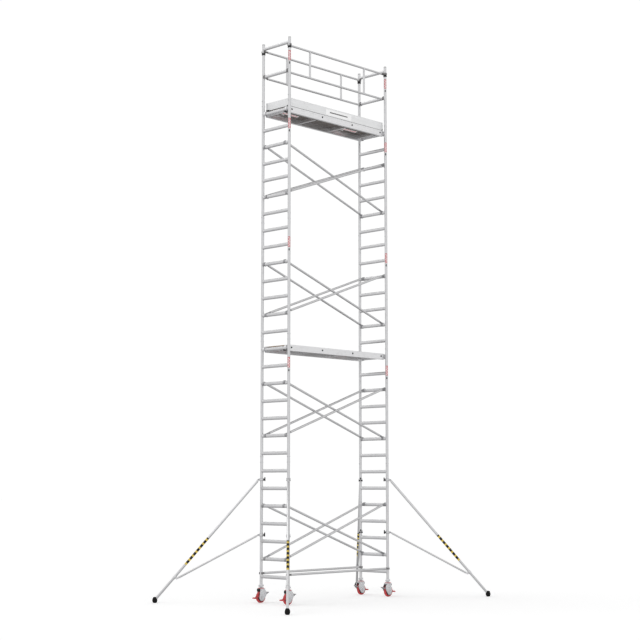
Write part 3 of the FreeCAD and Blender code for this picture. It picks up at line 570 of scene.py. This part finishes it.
def post_label(corner, number, z0, z1):
    """Plain red sticker with white fields on a front post, and the joint catch under it."""
    side_x, side_y = CORNERS[corner]
    base = Vector((side_x * HALF_X, side_y * HALF_Y, 0))
    shape = Shape()
    wrapped(shape, base, POST_RADIUS, LABEL_FACING, 1.75, z0, z1)
    tall = z1 - z0
    for i in range(7):
        foot = z0 + tall * (0.06 + 0.13 * i)
        lean = 0.16 if i % 2 else -0.16
        wrapped(shape, base, POST_RADIUS, LABEL_FACING + lean, 0.95, foot, foot + tall * 0.075,
                1, 0.0006)
    piece("post_label_%s_%d" % (corner, number), shape, [LABEL_RED, LABEL_WHITE])
    out = Vector((math.cos(LABEL_FACING), math.sin(LABEL_FACING), 0))
    place = facing(base + out * (POST_RADIUS - 0.001) + Z * (z0 - 0.045), out, Z)
    catch = Shape()
    catch.prism(place, ring_outline([(0.024, -0.005), (0.024, 0.005), (-0.004, 0.011),
                                     (-0.018, 0.009), (-0.018, -0.009), (-0.004, -0.011)],
                                    0.004), 0, 0.009)
    catch.lathe(place @ Matrix.Translation((0.004, 0, 0)), [(0.0042, 0.008), (0.0042, 0.0105),
                                                           (0.0034, 0.0112)], 20, 1)
    piece("post_catch_%s_%d" % (corner, number), catch, [PLASTIC, ZINC], bevel=0.001)


for corner in ("front_left", "front_right"):
    for number, top in enumerate(LABEL_TOPS, 1):
        post_label(corner, number, top - LABEL_TALL, top)


# ---------------------------------------------------------------- castors and legs
def castor(corner):
    """Wheel, axle nuts, fork cheeks and cover, seal, lever and spindle of one castor."""
    side_x, side_y = CORNERS[corner]
    low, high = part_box("castor_tyre_" + corner)
    hub = (low + high) / 2
    place = facing(hub, Y, X)
    radius, half = (high.z - low.z) / 2, (high.y - low.y) / 2
    seat = radius - 0.022
    leg = Vector((side_x * HALF_X, side_y * HALF_Y, 0))
    turn = Matrix.Translation(leg) @ Matrix.Rotation(0 if side_x > 0 else math.pi, 4, "Z")

    tyre = Shape()
    section = rounded([
        (seat, 0), (seat, half - 0.001), (seat + 0.006, half), (radius - 0.007, half - 0.001),
        (radius - 0.001, half - 0.009), (radius, 0), (radius - 0.001, -half + 0.009),
        (radius - 0.007, -half + 0.001), (seat + 0.006, -half), (seat, -half + 0.001),
        (seat, 0)], 0.005, 4)
    tyre.lathe(place, section[:-1], 96, loop=True)
    for side in (-1, 1):
        for share in (0.35, 0.55):
            r = seat + (radius - seat) * share
            ring = [(r - 0.0009, side * (half - 0.0012)), (r, side * (half - 0.0001)),
                    (r + 0.0009, side * (half - 0.0012))]
            tyre.lathe(place, ring, 96, loop=True)
    piece("tyre_" + corner, tyre, [RED_RUBBER], "wheel_" + corner,
          replaces=["castor_tyre_" + corner])

    rim = Shape()
    hub_half = 0.0313
    rim.lathe(place, rounded([
        (0.0101, hub_half), (0.020, hub_half), (0.022, hub_half - 0.003), (0.024, 0.012),
        (0.036, 0.0105), (seat - 0.013, 0.0105), (seat - 0.009, half - 0.004),
        (seat - 0.0065, half - 0.002), (seat, half - 0.002), (seat, 0),
        (seat, -half + 0.002), (seat - 0.0065, -half + 0.002), (seat - 0.009, -half + 0.004),
        (seat - 0.013, -0.0105), (0.036, -0.0105), (0.024, -0.012), (0.022, -hub_half + 0.003),
        (0.020, -hub_half), (0.0101, -hub_half)], 0.0025, 3), 72, loop=True)
    for i in range(8):
        spoke = place @ Matrix.Rotation(math.pi * i / 4, 4, "Z")
        for side in (-1, 1):
            outline = [(0.022, -0.0035), (seat - 0.009, -0.0028), (seat - 0.009, 0.0028),
                       (0.022, 0.0035)]
            rim.prism(spoke, outline, side * 0.009, side * 0.0185)
        boss = spoke @ Matrix.Rotation(math.pi / 8, 4, "Z") @ Matrix.Translation((0.048, 0, 0))
        for side in (-1, 1):
            rim.lathe(boss, [(0.0055, side * 0.009), (0.005, side * 0.0135),
                             (0.0032, side * 0.0135), (0.0028, side * 0.0110)], 16)
    piece("rim_" + corner, rim, [RIM], "wheel_" + corner, 0.0006,
          ["castor_rim_" + corner])

    for side in (-1, 1):
        face = facing(Vector((hub.x, hub.y + side * 0.0458, hub.z)), Y * side, X)
        nut = Shape()
        nut.prism(face, hexagon(0.0135), -0.0065, -0.0004)
        nut.lathe(face, [(0.0175, -0.0078), (0.0175, -0.0062), (0.010, -0.0062)], 32)
        tag = "in" if side * side_y < 0 else "out"
        piece("axle_nut_%s_%s" % (tag, corner), nut, [DULL_STEEL], "fork_" + corner,
              0.0008)

    cheeks = Shape()
    shoulder = Vector((leg.x - side_x * 0.017, 0.156))
    for side in (-1, 1):
        egg = facing(Vector((0, hub.y, 0)), -Y, X)
        reach = [(Vector((hub.x, hub.z - 0.004)), 0.0630), (shoulder, 0.0770)]
        outline = []
        for i in range(72):
            angle = 2 * math.pi * i / 72
            way = Vector((math.cos(angle), math.sin(angle)))
            centre, far = max(reach, key=lambda pair: pair[0].dot(way) + pair[1])
            spot = centre + way * far
            outline.append((spot.x, min(spot.y, CROWN_TOP - 0.0004)))
        middle = (reach[0][0] + shoulder) / 2
        rings = []
        for out_by, inset in ((0.0317, 0.0012), (0.0317, 0), (0.0384, 0), (0.0390, 0.0014)):
            ring = []
            for px, pz in outline:
                inward = (middle - Vector((px, pz))).normalized() * inset
                ring.append(egg @ Vector((px + inward.x, pz + inward.y, side * out_by)))
            rings.append(ring)
        cheeks.loft(rings)
        boss = egg @ Matrix.Translation((hub.x, hub.z, side * 0.0388))
        cheeks.lathe(boss, [(0.030, 0), (0.028, side * 0.0012), (0.024, side * 0.0014),
                            (0.022, 0)], 40, loop=True)
    piece("fork_cheeks_" + corner, cheeks, [ZINC], "fork_" + corner, 0.0008)
    cover = Shape()
    ends = [(0.0545, 0.196), (0.0600, 0.193), (0.0690, 0.203), (0.0690, 0.228),
            (0.0620, 0.241), (0.0545, 0.243)]
    upright = turn @ facing(Vector(), -Y, X)
    cover.prism(upright, ring_outline(ends, 0.005), -0.034, 0.034)
    for i in range(4):
        z0, z1 = 0.206 + 0.006 * i, 0.209 + 0.006 * i
        slat = [(0.0685, z0), (0.0700, z0), (0.0700, z1), (0.0685, z1)]
        cover.prism(upright, ring_outline(slat, 0.0006, 2), -0.028, 0.028)
    piece("fork_cover_" + corner, cover, [PLASTIC], "fork_" + corner, 0.0008)

    seal = Shape()
    crown = turn @ Matrix.Translation((0, 0, CROWN_TOP))
    seal.lathe(crown, rounded([(0.0468, -0.0005), (0.0468, 0.007), (0.049, 0.010),
                               (0.0535, 0.0085), (0.056, -0.0005), (0.0468, -0.0005)],
                              0.002, 3)[:-1], 64, loop=True)
    piece("swivel_seal_" + corner, seal, [RED_PAINT], "fork_" + corner)

    lever = Shape()
    flat = facing(turn @ Vector(), turn.to_3x3() @ -Y, turn.to_3x3() @ X)
    inner, outer = 0.0265, 0.0305
    pivot, heel, tip = Vector((0.008, 0.168)), Vector((0.118, 0.088)), Vector((0.166, 0.086))
    back, back_tip = Vector((-0.106, 0.146)), Vector((-0.158, 0.174))

    def bar(start, end, width, end_width):
        """Outline of a bar between two points, rounded at its ends."""
        along = (end - start).normalized()
        across = Vector((-along.y, along.x))
        points = []
        for centre, half_width, way in ((end, end_width, 1), (start, width, -1)):
            for i in range(9):
                t = math.pi * (i / 8 - 0.5)
                spot = centre + along * (way * half_width * math.cos(t))
                points.append(tuple(spot + across * (way * half_width * math.sin(t))))
        return points

    for side in (-1, 1):
        edges = (side * inner, side * outer)
        lever.prism(flat, bar(pivot, heel, 0.0095, 0.0075), min(edges), max(edges), 2)
        lever.prism(flat, bar(pivot, back, 0.0095, 0.0065), min(edges), max(edges), 1)
    for start, end, number in ((heel, tip, 2), (back, back_tip, 1)):
        thick = 0.0115 if number == 2 else 0.0060
        lever.prism(flat, bar(start, end, thick, thick - 0.0006), -outer, outer, number)
        along = (end - start).normalized()
        across = Vector((-along.y, along.x))
        if across.y < 0:
            across = -across
        for i in range(5):
            spot = start + along * ((end - start).length * (0.30 + 0.16 * i))
            spot += across * (thick - 0.0003)
            lever.prism(flat, bar(spot - along * 0.001, spot + along * 0.001, 0.0014, 0.0014),
                        -outer + 0.003, outer - 0.003, number)
    piece("lever_" + corner, lever, [DARK_CAST, CAST, RED_PAINT], "brake_lever_" + corner,
          0.0008, ["brake_lever_" + corner])

    spindle = Shape()
    up = Matrix.Translation(leg)
    spindle.lathe(up, rounded([(0.001, 0.2120), (0.0150, 0.2120), (0.0160, 0.2140),
                               (0.0160, 0.2200), (0.0100, 0.2207), (0.0100, 0.2440),
                               (0.0450, 0.2440), (0.0460, 0.2450), (0.0460, 0.2550),
                               (0.0450, 0.2560), (0.0235, 0.2562), (0.0190, 0.2600),
                               (0.0175, 0.2602)], 0.0008, 2), 64)
    pitch, foot, top, turns = 0.008, 0.2602, 0.706, 40
    rings = []
    rows = int((top - foot) / pitch * 6)
    for row in range(rows + 1):
        z = foot + (top - foot) * row / rows
        ring = []
        for i in range(turns):
            phase = (z / pitch - i / turns) % 1.0
            depth = 0.0016 * min(1.0, max(0.0, abs(phase - 0.5) * 4 - 0.7))
            angle = 2 * math.pi * i / turns
            r = 0.019 - depth
            ring.append(up @ Vector((r * math.cos(angle), r * math.sin(angle), z)))
        rings.append(ring)
    spindle.loft(rings)
    for i in range(4):
        spot = up @ Matrix.Rotation(math.pi * (0.25 + 0.5 * i), 4, "Z")
        spot = spot @ Matrix.Translation((0.036, 0, 0.2558))
        spindle.prism(spot, hexagon(0.0055), 0, 0.004)
    piece("spindle_" + corner, spindle, [ZINC], "leg_" + corner,
          replaces=["castor_spindle_" + corner])


for corner in CORNERS:
    castor(corner)


# ---------------------------------------------------------------- stabilisers
def stabiliser_parts(corner):
    """Hazard tape, rubber foot, knobs and clamp trim with bolt heads of one stabiliser."""
    side_x, side_y = CORNERS[corner]
    out = Vector((side_x, side_y, 0)).normalized()
    post = Vector((side_x * HALF_X, side_y * HALF_Y, 0))
    body = "stabiliser_" + corner
    low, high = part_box("stabiliser_foot_" + corner)
    foot = Vector(((low.x + high.x) / 2, (low.y + high.y) / 2, 0))
    start = post + out * CLAMP_BOLTS_OUT + Z * KNOB_HEIGHTS["upper"]
    end = foot + Z * 0.050
    along = (end - start).normalized()
    length = (end - start).length

    tape = Shape()
    place = facing(start, along, Z)
    spot = length * TAPE_START
    for number, width in enumerate(TAPE_BANDS):
        tape.lathe(place, [(0.0219, spot), (0.0226, spot), (0.0226, spot + width),
                           (0.0219, spot + width)], 40, number % 2, loop=True)
        spot += width
    piece("hazard_tape_" + corner, tape, [TAPE_BLACK, TAPE_YELLOW], body)

    rubber = Shape()
    place = Matrix.Translation(foot)
    section = rounded([(0.001, 0.0), (0.0210, 0.0), (0.0315, 0.0065), (0.0400, 0.019),
                       (0.0440, 0.036), (0.0436, 0.052), (0.0400, 0.069), (0.0335, 0.085),
                       (0.0275, 0.0955), (0.0240, 0.1010), (0.001, 0.1010)], 0.010, 4)
    rubber.lathe(place, section, 64)
    for z in (0.081, 0.088):
        r = 0.0322 - (z - 0.087) * 0.60
        rubber.lathe(place, [(r - 0.002, z - 0.002), (r + 0.0012, z), (r - 0.002, z + 0.002)],
                     64, loop=True)
    piece("rubber_foot_" + corner, rubber, [RUBBER], body,
          replaces=["stabiliser_foot_" + corner])

    across = out.cross(Z)
    for which, z in KNOB_HEIGHTS.items():
        knob = Shape()
        centre = post + Z * z
        place = facing(centre, -out, across)
        begin = CLAMP_RADIUS + 0.0006
        knob.lathe(place, rounded([(0.001, begin), (0.0130, begin), (0.0148, begin + 0.003),
                                   (0.0120, begin + 0.012), (0.001, begin + 0.012)],
                                  0.002, 3), 32)
        knob.lathe(place, [(0.0049, begin - 0.009), (0.0049, begin + 0.002)], 24, paint=1)
        lobes, count = [], 72
        for i in range(count):
            t = 2 * math.pi * i / count
            reach = 0.0285 + 0.0150 * math.cos(3 * t)
            lobes.append((reach * math.cos(t + math.pi / 2), reach * math.sin(t + math.pi / 2)))
        levels = [(0.55, 0.0085), (0.86, 0.0100), (0.97, 0.0135), (1.0, 0.0190),
                  (0.97, 0.0250), (0.88, 0.0288), (0.60, 0.0296)]
        knob.loft([[place @ Vector((x * s, y * s, begin + h)) for x, y in lobes]
                   for s, h in levels])
        knob.lathe(place, [(0.0085, begin + 0.0290), (0.0085, begin + 0.0299),
                           (0.0070, begin + 0.0300)], 24, paint=1)
        piece("knob_%s_%s" % (which, corner), knob, [PLASTIC, ZINC],
              "knob_%s_%s" % (which, corner),
              replaces=["clamp_knob_%s_%s" % (which, corner)])

        wrap = Shape()
        place = Matrix.Translation(centre)
        for rise in (-0.0222, 0.0182):
            wrap.lathe(place, rounded([(CLAMP_RADIUS - 0.003, rise), (CLAMP_RADIUS + 0.0018, rise),
                                       (CLAMP_RADIUS + 0.0018, rise + 0.004),
                                       (CLAMP_RADIUS - 0.003, rise + 0.004),
                                       (CLAMP_RADIUS - 0.003, rise)], 0.001, 2)[:-1],
                       48, loop=True)
        for side in (-1, 1):
            spot = centre + out * CLAMP_BOLTS_OUT + across * (side * 0.0165)
            head = facing(spot, across * side, Z)
            wrap.lathe(head, [(0.0115, 0), (0.0115, 0.0012), (0.008, 0.0012)], 28, paint=1)
            wrap.prism(head, hexagon(0.0095), 0.0012, 0.0070, 1)
        piece("clamp_trim_%s_%s" % (which, corner), wrap, [CAST, DULL_STEEL], body,
              0.0006)


for corner in CORNERS:
    stabiliser_parts(corner)


# ---------------------------------------------------------------- decks
def deck_parts(name):
    """Rail ribs, clips, bolt caps, rivets, underside labels and hatch fittings of one deck."""
    top = DECK_TOPS[name]
    under = top - PLY
    bottom = top - RAIL_BELOW
    ribs = Shape()
    for side in (-1, 1):
        for z in (top - 0.004, top - 0.030, top - 0.078, bottom + 0.004):
            y = side * DECK_HALF
            outline = [(y - side * 0.0005, z - 0.0016), (y + side * 0.0012, z - 0.0008),
                       (y + side * 0.0012, z + 0.0008), (y - side * 0.0005, z + 0.0016)]
            ribs.loft([[Vector((x, py, pz)) for py, pz in outline] for x in (-1.221, 1.221)])
    piece(name + "_rail_ribs", ribs, [DECK_METAL])

    clips = Shape()
    for x in CROSS_PLACES:
        spot = facing(Vector((x - 0.105, -RAIL_INSIDE, bottom + 0.002)), Z, X)
        clips.prism(spot, ring_outline([(-0.034, -0.001), (0.034, -0.001), (0.030, 0.030),
                                        (-0.030, 0.030)], 0.006), 0, 0.018)
        clips.lathe(spot @ Matrix.Translation((0, 0.015, 0)),
                    [(0.0070, -0.0012), (0.0070, 0.001), (0.0060, -0.0022), (0.0030, -0.0024)], 24)
    piece(name + "_rail_clips", clips, [PLASTIC], bevel=0.001)

    caps = Shape()
    for x in CROSS_PLACES:
        for side in (-1, 1):
            place = facing(Vector((x, side * DECK_HALF, top - 0.048)), Y * side, X)
            caps.lathe(place, rounded([(0.0105, -0.0002), (0.0150, -0.0002), (0.0150, 0.0022),
                                       (0.0130, 0.0064), (0.0085, 0.0066), (0.0080, 0.0054),
                                       (0.0001, 0.0054)], 0.0012, 2), 32)
    piece(name + "_bolt_caps", caps, [PLASTIC])

    rivets = Shape()
    dome = [(0.0001, 0.0016), (0.0022, 0.0013), (0.0036, 0.0006), (0.0040, 0.0)]
    for x in [i * 0.145 for i in range(-7, 8)]:
        if HATCH_SIDE[name] * x > CROSS_X:
            continue
        for side in (-1, 1):
            rivets.lathe(Matrix.Translation((x, side * 0.2385, top)), dome, 16)
    for x in CROSS_PLACES:
        for y in (-0.16, 0.0, 0.16):
            if abs(x) < 1 or HATCH_SIDE[name] * x < 0:
                rivets.lathe(Matrix.Translation((x, y, top)), dome, 16)
    piece(name + "_deck_rivets", rivets, [ZINC])

    for centre in UNDERSIDE_LABELS:
        base = under - 0.0005
        over = "root" if centre * HATCH_SIDE[name] < 0 else name + "_hatch"
        strip = Shape()
        strip.block((centre - 0.20, 0.075, base), (centre + 0.20, 0.150, under + 0.0002), 0)
        for i in range(6):
            left = centre - 0.188 + i * 0.064
            strip.block((left, 0.090, base - 0.0003), (left + 0.044, 0.135, base), 1)
        strip.block((centre - 0.13, 0.180, base), (centre - 0.07, 0.215, under + 0.0002), 0)
        tag = "left" if centre < 0 else "right"
        piece("%s_underside_label_%s" % (name, tag), strip, [LABEL_WHITE, LABEL_RED], over)

    body = name + "_hatch"
    low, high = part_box(name + "_hatch")
    trim = Shape()
    within = LID_HALF - 0.024
    for y0, y1, x0, x1 in (
            (-LID_HALF, -within, low.x, high.x), (within, LID_HALF, low.x, high.x),
            (-within, within, low.x, low.x + 0.024), (-within, within, high.x - 0.024, high.x)):
        trim.block((x0, y0, top - 0.0002), (x1, y1, top + 0.0015))
    middle = (low.x + high.x) / 2
    piece(name + "_hatch_trim", trim, [LONG_METAL], body, 0.0005)
    latch = Shape()
    place = Matrix.Translation((middle, -LID_HALF + 0.075, top))
    latch.lathe(place, rounded([(0.001, 0.0030), (0.020, 0.0030), (0.030, 0.0026),
                                (0.034, 0.0), (0.001, 0.0)], 0.002, 3), 48)
    latch.block((middle - 0.024, -LID_HALF + 0.070, top + 0.002),
                (middle + 0.024, -LID_HALF + 0.080, top + 0.0065))
    under_place = Matrix.Translation((middle, -LID_HALF + 0.075, under))
    latch.lathe(under_place, rounded([(0.001, -0.016), (0.016, -0.016), (0.019, -0.012),
                                      (0.020, 0.0), (0.001, 0.0)], 0.002, 3), 40)
    latch.block((middle - 0.010, -LID_HALF + 0.020, under - 0.012),
                (middle + 0.010, -LID_HALF + 0.075, under - 0.006))
    piece(name + "_hatch_latch", latch, [PLASTIC], body, 0.0008)


for name in DECK_TOPS:
    deck_parts(name)


# ---------------------------------------------------------------- toe boards and guardrails
def toe_board_parts():
    """Corner clips, edge caps, seals and the plain panel on the front board."""
    low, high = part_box("toe_boards")
    clips = Shape()
    for side_x in (-1, 1):
        for side_y in (-1, 1):
            x, y = side_x * TOE_END, side_y * 0.2705
            clips.block((x - side_x * 0.022, y, low.z - 0.010),
                        (x + side_x * 0.0025, y - side_y * 0.048, low.z + 0.026))
            x, y = side_x * high.x, side_y * high.y
            proud = 0.0008 if side_x > 0 else 0
            clips.block((x - side_x * 0.022, y + side_y * 0.0012, low.z + 0.0004),
                        (x + proud, y - side_y * 0.0212, low.z + 0.024))
    piece("toe_board_clips", clips, [PLASTIC], bevel=0.0008)
    strip = Shape()
    for side in (-1, 1):
        y = side * high.y
        strip.block((low.x + 0.002, y, high.z - 0.0002),
                    (high.x - 0.002, y - side * 0.020, high.z + 0.0012))
    piece("toe_board_caps", strip, [LONG_METAL], bevel=0.0004)
    seal = Shape()
    for side in (-1, 1):
        y = side * (high.y + 0.0006)
        seal.block((low.x + 0.001, y, low.z + 0.0002),
                   (high.x - 0.001, y - side * 0.004, low.z + 0.0066))
    piece("toe_board_seal", seal, [RUBBER_GREY], bevel=0.0003)
    ends = Shape()
    for side in (-1, 1):
        x = side * TOE_END
        ends.block((x - side * 0.004, -HALF_END, low.z + 0.0002),
                   (x + side * 0.0010, HALF_END, low.z + 0.0105))
    piece("toe_board_end_seals", ends, [RUBBER], bevel=0.0003)
    panel = Shape()
    y = low.y
    panel.block((-0.30, y - 0.0006, low.z + 0.022), (0.365, y + 0.0002, high.z - 0.022))
    panel.block((-0.20, y - 0.0009, low.z + 0.064), (0.265, y, high.z - 0.064), 1)
    piece("toe_board_panel", panel, [LABEL_WHITE, LABEL_GREY])


toe_board_parts()


def guardrail_collars():
    """Black locking sleeves under the guardrail clamps, with their grip flutes."""
    for corner, (side_x, side_y) in CORNERS.items():
        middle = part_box("guardrails")[1].z - RAIL_TUBE - COLLAR_DROP
        place = Matrix.Translation((side_x * HALF_X, side_y * HALF_Y, middle))
        sleeve = Shape()
        rings, count = [], 72
        for r, h in ((0.0258, -0.018), (0.0310, -0.018), (0.0328, -0.016), (0.0328, 0.016),
                     (0.0310, 0.018), (0.0258, 0.018)):
            flute = 0.0007 if r > 0.032 else 0
            ring = []
            for i in range(count):
                reach, angle = r - flute * (i % 4 > 1), 2 * math.pi * i / count
                ring.append(place @ Vector((reach * math.cos(angle), reach * math.sin(angle), h)))
            rings.append(ring)
        sleeve.loft(rings, loop=True)
        piece("guardrail_collar_" + corner, sleeve, [PLASTIC])


guardrail_collars()


# ---------------------------------------------------------------- studio
def studio():
    """Pale floor, even white surroundings, one soft sun and the camera."""
    scene = bpy.context.scene
    scene.view_settings.view_transform = "Standard"
    scene.view_settings.look = "None"
    data = bpy.data.meshes.new("floor")
    reach = 150
    data.from_pydata([(-reach, -reach, 0), (reach, -reach, 0), (reach, reach, 0),
                      (-reach, reach, 0)], [], [(0, 1, 2, 3)])
    floor = bpy.data.objects.new("floor", data)
    scene.collection.objects.link(floor)
    pale = Finish("studio_floor", Roughness=0.9, Emission_Color=(1, 1, 1, 1),
                  Emission_Strength=0.21)
    cloud = pale.noise(0.4, detail=3)
    tone = pale.mix(cloud, (0.90, 0.90, 0.90), (0.92, 0.92, 0.92))
    data.materials.append(pale.done(tone, pale.remap(cloud, 0, 1, 0.85, 0.95)))

    floor.visible_glossy = False
    world = bpy.data.worlds.new("studio_white")
    scene.world = world
    world.use_nodes = True
    nodes, links = world.node_tree.nodes, world.node_tree.links
    spot = nodes.new("ShaderNodeTexCoord")
    parts = nodes.new("ShaderNodeSeparateXYZ")
    links.new(spot.outputs["Generated"], parts.inputs[0])
    rise = nodes.new("ShaderNodeValToRGB")
    shift = nodes.new("ShaderNodeMapRange")
    shift.inputs["From Min"].default_value = -1.0
    links.new(parts.outputs["Z"], shift.inputs["Value"])
    links.new(shift.outputs[0], rise.inputs["Fac"])
    ramp = rise.color_ramp.elements
    ramp[0].position, ramp[0].color = 0.25, (0.60, 0.60, 0.605, 1)
    ramp[1].position, ramp[1].color = 0.97, (0.74, 0.74, 0.74, 1)
    ramp.new(0.80).color = (1.0, 1.0, 1.0, 1)
    ramp.new(0.52).color = (0.93, 0.93, 0.935, 1)
    soft, plain = nodes["Background"], nodes.new("ShaderNodeBackground")
    links.new(rise.outputs[0], soft.inputs["Color"])
    behind, fade = nodes.new("ShaderNodeVectorMath"), nodes.new("ShaderNodeMapRange")
    behind.operation = "DOT_PRODUCT"
    behind.inputs[1].default_value = (0.71, 0.69, 0)
    fade.inputs["From Min"].default_value = -1.0
    fade.inputs["To Min"].default_value, fade.inputs["To Max"].default_value = 1.0, 0.76
    links.new(spot.outputs["Generated"], behind.inputs[0])
    links.new(behind.outputs["Value"], fade.inputs["Value"])
    links.new(fade.outputs[0], soft.inputs["Strength"])
    plain.inputs["Color"].default_value = (1, 1, 1, 1)
    plain.inputs["Strength"].default_value = 1.02
    seen, either = nodes.new("ShaderNodeLightPath"), nodes.new("ShaderNodeMixShader")
    links.new(seen.outputs["Is Camera Ray"], either.inputs["Fac"])
    links.new(soft.outputs[0], either.inputs[1])
    links.new(plain.outputs[0], either.inputs[2])
    links.new(either.outputs[0], nodes["World Output"].inputs["Surface"])

    sun = bpy.data.lights.new("key", "SUN")
    sun.energy, sun.angle = 0.45, math.radians(40)
    key = bpy.data.objects.new("key", sun)
    key.rotation_euler = Vector((0.45, -0.60, -1.0)).to_track_quat("-Z", "Y").to_euler()
    scene.collection.objects.link(key)

    lens = bpy.data.cameras.new("camera")
    lens.lens, lens.sensor_width = CAMERA_LENS, 36.0
    lens.clip_end = 500
    camera = bpy.data.objects.new("camera", lens)
    camera.location = CAMERA_AT
    camera.rotation_euler = CAMERA_AIM.to_track_quat("-Z", "Y").to_euler()
    scene.collection.objects.link(camera)
    scene.camera = camera


studio()
